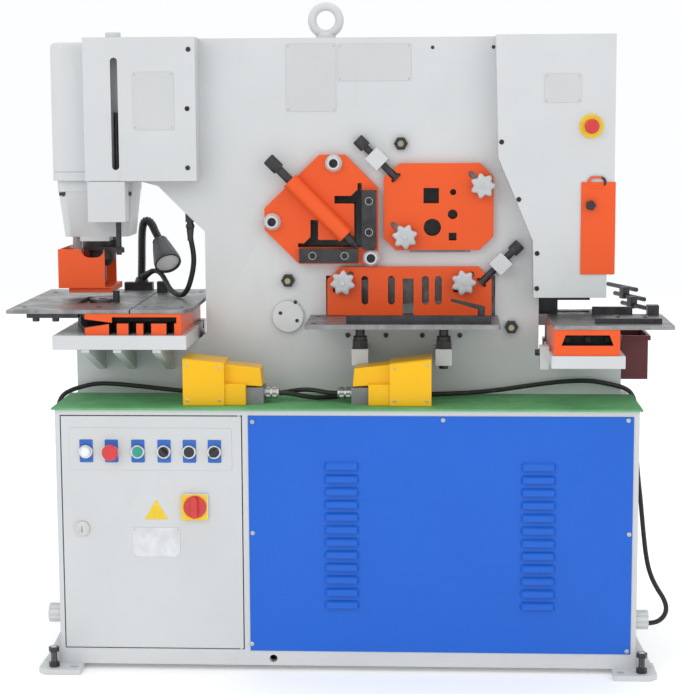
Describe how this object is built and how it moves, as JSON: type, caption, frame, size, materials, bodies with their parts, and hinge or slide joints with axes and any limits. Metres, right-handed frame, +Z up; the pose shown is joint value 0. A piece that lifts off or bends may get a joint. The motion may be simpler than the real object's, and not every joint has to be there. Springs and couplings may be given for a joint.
{
  "type": "hydraulic ironworker",
  "caption": "Hydraulic ironworker with a punch, angle, section and flat-bar shears and a notcher on a cabinet base with two foot pedals.",
  "frame": {"origin": "on the floor, in the middle of the four anchor holes in the foot plates", "axes": "+Z up, +X to the operator's right, so the operator stands at -Y and faces +Y"},
  "size_m": [1.6908, 0.75, 1.7155],
  "materials": {
    "white_paint": "gloss",
    "blue_paint": "gloss",
    "orange_paint": "gloss",
    "yellow_paint": "gloss",
    "maroon_paint": "satin",
    "blackened_steel": "satin",
    "ground_steel": "satin",
    "dark_plate": "satin",
    "green_rubber": "matte",
    "black_rubber": "matte",
    "chromed": "polished",
    "red_plastic": "gloss",
    "green_plastic": "gloss",
    "black_plastic": "gloss",
    "grey_plastic": "matte",
    "light_plastic": "gloss"
  },
  "bodies": {
    "machine": {"cabinet": "white_paint", "blue_panel": "blue_paint", "rubber_mat": "green_rubber", "frame_plate_front": "white_paint", "frame_plate_rear": "white_paint", "pivot_shaft": "white_paint", "fixed_tooling": "ground_steel", "angle_plate": "orange_paint", "angle_rests": "blackened_steel", "star_knobs": "light_plastic", "mid_table": "dark_plate", "punch_cylinder": "white_paint", "punch_casting": "white_paint", "punch_bed": "white_paint", "punch_bolster": "orange_paint", "punch_table": "dark_plate", "left_cover": "white_paint", "right_cover": "white_paint", "shear_cylinder": "ground_steel", "notch_bed": "white_paint", "notch_bolster": "orange_paint", "notch_table": "dark_plate", "table_gauges": "blackened_steel", "scrap_box": "maroon_paint", "lifting_eye": "white_paint", "work_lamp": "black_plastic", "hydraulic_unit": "white_paint", "electric_panel": "grey_plastic", "fasteners": "blackened_steel", "pedal_hoods": "yellow_paint", "pedal_bases": "grey_plastic", "hose_left": "black_rubber", "hose_right": "black_rubber", "lamp_lead": "black_rubber"},
    "door_leaf": {"door": "white_paint", "door_fittings": "chromed"},
    "lock": {"door_lock": "chromed"},
    "stop": {"stop_button": "red_plastic"},
    "start": {"start_button": "green_plastic"},
    "jog": {"jog_button": "black_plastic"},
    "left_selector": {"selector_left": "black_plastic"},
    "right_selector": {"selector_right": "black_plastic"},
    "switch": {"main_switch": "red_plastic"},
    "emergency": {"emergency_button": "red_plastic"},
    "ram": {"punch_ram": "blackened_steel", "punch": "ground_steel"},
    "stripper": {"stripper_box": "orange_paint"},
    "arm": {"shear_arm": "dark_plate", "moving_blades": "ground_steel"},
    "notcher": {"notch_slide": "dark_plate"},
    "piston": {"shear_piston": "ground_steel"},
    "spindle": {"angle_spindle": "blackened_steel"},
    "section_holder": {"section_plate": "orange_paint"},
    "section_turn": {"section_screw": "blackened_steel"},
    "flat_holder": {"flat_plate": "orange_paint"},
    "flat_turn": {"flat_screw": "blackened_steel"},
    "fence": {"table_fence": "blackened_steel"},
    "guard": {"notch_guard": "orange_paint"},
    "left_treadle": {"treadle_left": "grey_plastic"},
    "right_treadle": {"treadle_right": "grey_plastic"}
  },
  "joints": [
    {"name": "door_hinge", "type": "hinge", "parent": "machine", "child": "door_leaf", "pos_m": [-0.27, -0.315, 0.361], "axis": [0, 0, 1], "range_deg": [0, 110]},
    {"name": "lock_turn", "type": "hinge", "parent": "door_leaf", "child": "lock", "pos_m": [-0.676, -0.32, 0.372], "axis": [0, 1, 0], "range_deg": [0, 90]},
    {"name": "stop_press", "type": "slide", "parent": "door_leaf", "child": "stop", "axis": [0, 1, 0], "range_m": [0, 0.005], "stiffness_N_per_m": 900, "springref_m": -0.003},
    {"name": "start_press", "type": "slide", "parent": "door_leaf", "child": "start", "axis": [0, 1, 0], "range_m": [0, 0.005], "stiffness_N_per_m": 900, "springref_m": -0.003},
    {"name": "jog_press", "type": "slide", "parent": "door_leaf", "child": "jog", "axis": [0, 1, 0], "range_m": [0, 0.005], "stiffness_N_per_m": 900, "springref_m": -0.003},
    {"name": "left_selector_turn", "type": "hinge", "parent": "door_leaf", "child": "left_selector", "pos_m": [-0.461, -0.32, 0.574], "axis": [0, 1, 0], "range_deg": [0, 90]},
    {"name": "right_selector_turn", "type": "hinge", "parent": "door_leaf", "child": "right_selector", "pos_m": [-0.332, -0.32, 0.574], "axis": [0, -1, 0], "range_deg": [0, 90]},
    {"name": "main_switch_turn", "type": "hinge", "parent": "door_leaf", "child": "switch", "pos_m": [-0.383, -0.32, 0.432], "axis": [0, 1, 0], "range_deg": [0, 90]},
    {"name": "emergency_press", "type": "slide", "parent": "machine", "child": "emergency", "axis": [0, 1, 0], "range_m": [0, 0.005], "stiffness_N_per_m": 1200, "springref_m": -0.003},
    {"name": "punch_stroke", "type": "slide", "parent": "machine", "child": "ram", "axis": [0, 0, -1], "range_m": [0, 0.046]},
    {"name": "stripper_lower", "type": "slide", "parent": "machine", "child": "stripper", "axis": [0, 0, -1], "range_m": [0, 0.02]},
    {"name": "arm_swing", "type": "hinge", "parent": "machine", "child": "arm", "pos_m": [-0.161, 0, 0.892], "axis": [0, 1, 0], "range_deg": [0, 5.5]},
    {"name": "notcher_stroke", "type": "slide", "parent": "machine", "child": "notcher", "axis": [0, 0, -1], "range_m": [0, 0.0722]},
    {"name": "piston_stroke", "type": "slide", "parent": "machine", "child": "piston", "axis": [0, 0, -1], "range_m": [0, 0.0722]},
    {"name": "spindle_feed", "type": "slide", "parent": "machine", "child": "spindle", "axis": [-0.7071, 0, 0.7071], "range_m": [0, 0.06]},
    {"name": "section_feed", "type": "slide", "parent": "machine", "child": "section_holder", "axis": [0.7071, 0, -0.7071], "range_m": [0, 0.02]},
    {"name": "section_screw_turn", "type": "hinge", "parent": "section_holder", "child": "section_turn", "pos_m": [0.125, -0.09, 1.258], "axis": [-0.7071, 0, 0.7071], "range_deg": [0, 1802]},
    {"name": "flat_feed", "type": "slide", "parent": "machine", "child": "flat_holder", "axis": [0.7071, 0, 0.7071], "range_m": [0, 0.01]},
    {"name": "flat_screw_turn", "type": "hinge", "parent": "flat_holder", "child": "flat_turn", "pos_m": [0.349, -0.09, 0.984], "axis": [0.7071, 0, 0.7071], "range_deg": [0, 902]},
    {"name": "fence_set", "type": "slide", "parent": "machine", "child": "fence", "axis": [0, 1, 0], "range_m": [0, 0.08]},
    {"name": "guard_lower", "type": "slide", "parent": "machine", "child": "guard", "axis": [0, 0, -1], "range_m": [0, 0.08]},
    {"name": "left_treadle_press", "type": "hinge", "parent": "machine", "child": "left_treadle", "pos_m": [-0.331, -0.228, 0.72], "axis": [0, -1, 0], "range_deg": [0, 10], "stiffness_Nm_per_rad": 4, "springref_deg": -28.65},
    {"name": "right_treadle_press", "type": "hinge", "parent": "machine", "child": "right_treadle", "pos_m": [0.134, -0.228, 0.72], "axis": [0, 1, 0], "range_deg": [0, 10], "stiffness_Nm_per_rad": 4, "springref_deg": -28.65}
  ],
  "couplings": [
    {"joint": "notcher_stroke", "follows": "arm_swing", "m_per_rad": 0.751},
    {"joint": "piston_stroke", "follows": "arm_swing", "m_per_rad": 0.743},
    {"joint": "section_screw_turn", "follows": "section_feed", "rad_per_m": 1570.8},
    {"joint": "flat_screw_turn", "follows": "flat_feed", "rad_per_m": 1570.8}
  ]
}
